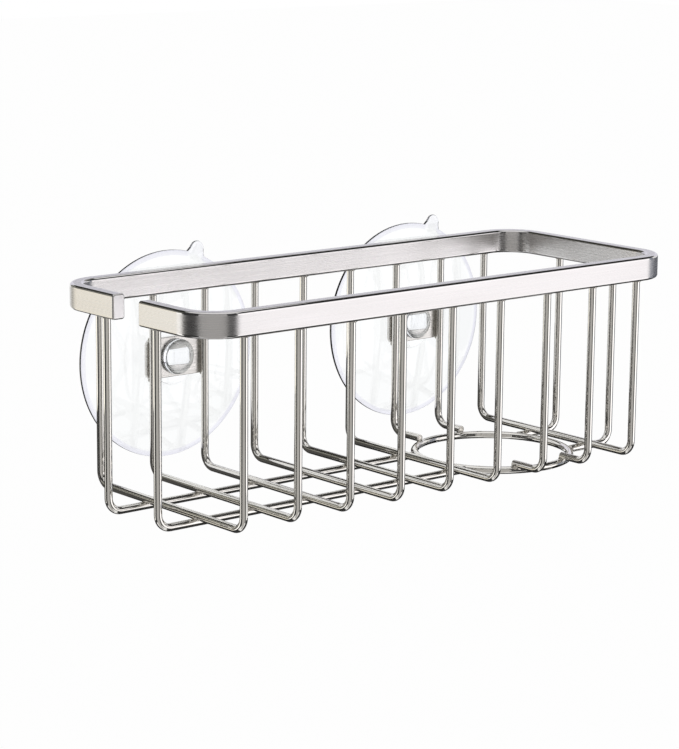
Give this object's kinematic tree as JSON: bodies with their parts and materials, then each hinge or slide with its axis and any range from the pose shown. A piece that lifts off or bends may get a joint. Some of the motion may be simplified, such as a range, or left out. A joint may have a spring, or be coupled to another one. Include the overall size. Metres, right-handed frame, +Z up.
{
  "type": "sponge holder",
  "caption": "Wire basket with a flat bar rim, a ring in its floor for a brush handle and a gap in one end, hung on a wall by clear suction cups.",
  "frame": {"origin": "on the wall plane, midway between the two suction cups and level with their centres", "axes": "+X along the basket towards the brush ring, +Y into the wall, +Z up; the basket's front faces -Y"},
  "size_m": [0.22, 0.0935, 0.0861],
  "materials": {
    "satin_stainless_bar": "satin brushed",
    "polished_stainless_wire": "drawn and polished",
    "stainless_strip": "satin",
    "clear_pvc": "clear, glossy, soft"
  },
  "bodies": {
    "basket": {"rim": "satin_stainless_bar", "cross_wire_1": "polished_stainless_wire", "cross_wire_2": "polished_stainless_wire", "cross_wire_3": "polished_stainless_wire", "cross_wire_4": "polished_stainless_wire", "cross_wire_5": "polished_stainless_wire", "cross_wire_6": "polished_stainless_wire", "cross_wire_9": "polished_stainless_wire", "cross_wire_7_front": "polished_stainless_wire", "cross_wire_7_back": "polished_stainless_wire", "cross_wire_8_front": "polished_stainless_wire", "cross_wire_8_back": "polished_stainless_wire", "left_end_wire_front": "polished_stainless_wire", "left_end_wire_back": "polished_stainless_wire", "right_end_wire_front": "polished_stainless_wire", "right_end_wire_back": "polished_stainless_wire", "brush_ring": "polished_stainless_wire", "left_cup_bracket": "stainless_strip", "right_cup_bracket": "stainless_strip"},
    "left_cup": {"left_suction_cup": "clear_pvc"},
    "right_cup": {"right_suction_cup": "clear_pvc"}
  },
  "joints": [
    {"name": "left_cup_spin", "type": "hinge", "parent": "basket", "child": "left_cup", "pos_m": [-0.0575, -0.00585, 0], "axis": [0, 1, 0], "continuous": true},
    {"name": "right_cup_spin", "type": "hinge", "parent": "basket", "child": "right_cup", "pos_m": [0.0575, -0.00585, 0], "axis": [0, 1, 0], "continuous": true}
  ]
}
